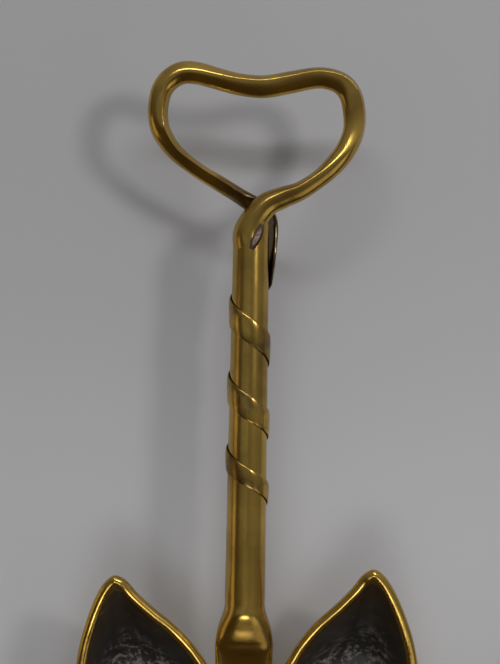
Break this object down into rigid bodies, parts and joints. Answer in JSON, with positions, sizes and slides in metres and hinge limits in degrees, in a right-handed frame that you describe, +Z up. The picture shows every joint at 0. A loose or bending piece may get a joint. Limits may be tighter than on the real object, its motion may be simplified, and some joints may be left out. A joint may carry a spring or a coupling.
{
  "type": "hearth shovel",
  "caption": "Brass hearth shovel with a scooped two-eared pan, a hollow stem and a heart-shaped loop handle whose tail winds round the stem.",
  "frame": {"origin": "middle of the pan's flat underside", "axes": "+Z up, out of the pan; +Y along the handle towards the loop; -Y towards the pan's lip"},
  "size_m": [0.1804, 0.4767, 0.0587],
  "materials": {
    "sooty_brass": "cast brass, sooty and patinated inside, rubbed bright on the rim",
    "stem_brass": "polished, aged brass",
    "bar_brass": "polished, aged brass",
    "filler": "pale pinkish filling, matt",
    "rivet_brass": "dull brass"
  },
  "bodies": {
    "root": {"pan": "sooty_brass", "stem_tube": "stem_brass", "loop_bar": "bar_brass", "mouth_filler": "filler", "upper_rivet": "rivet_brass", "lower_rivet": "rivet_brass"}
  },
  "joints": []
}
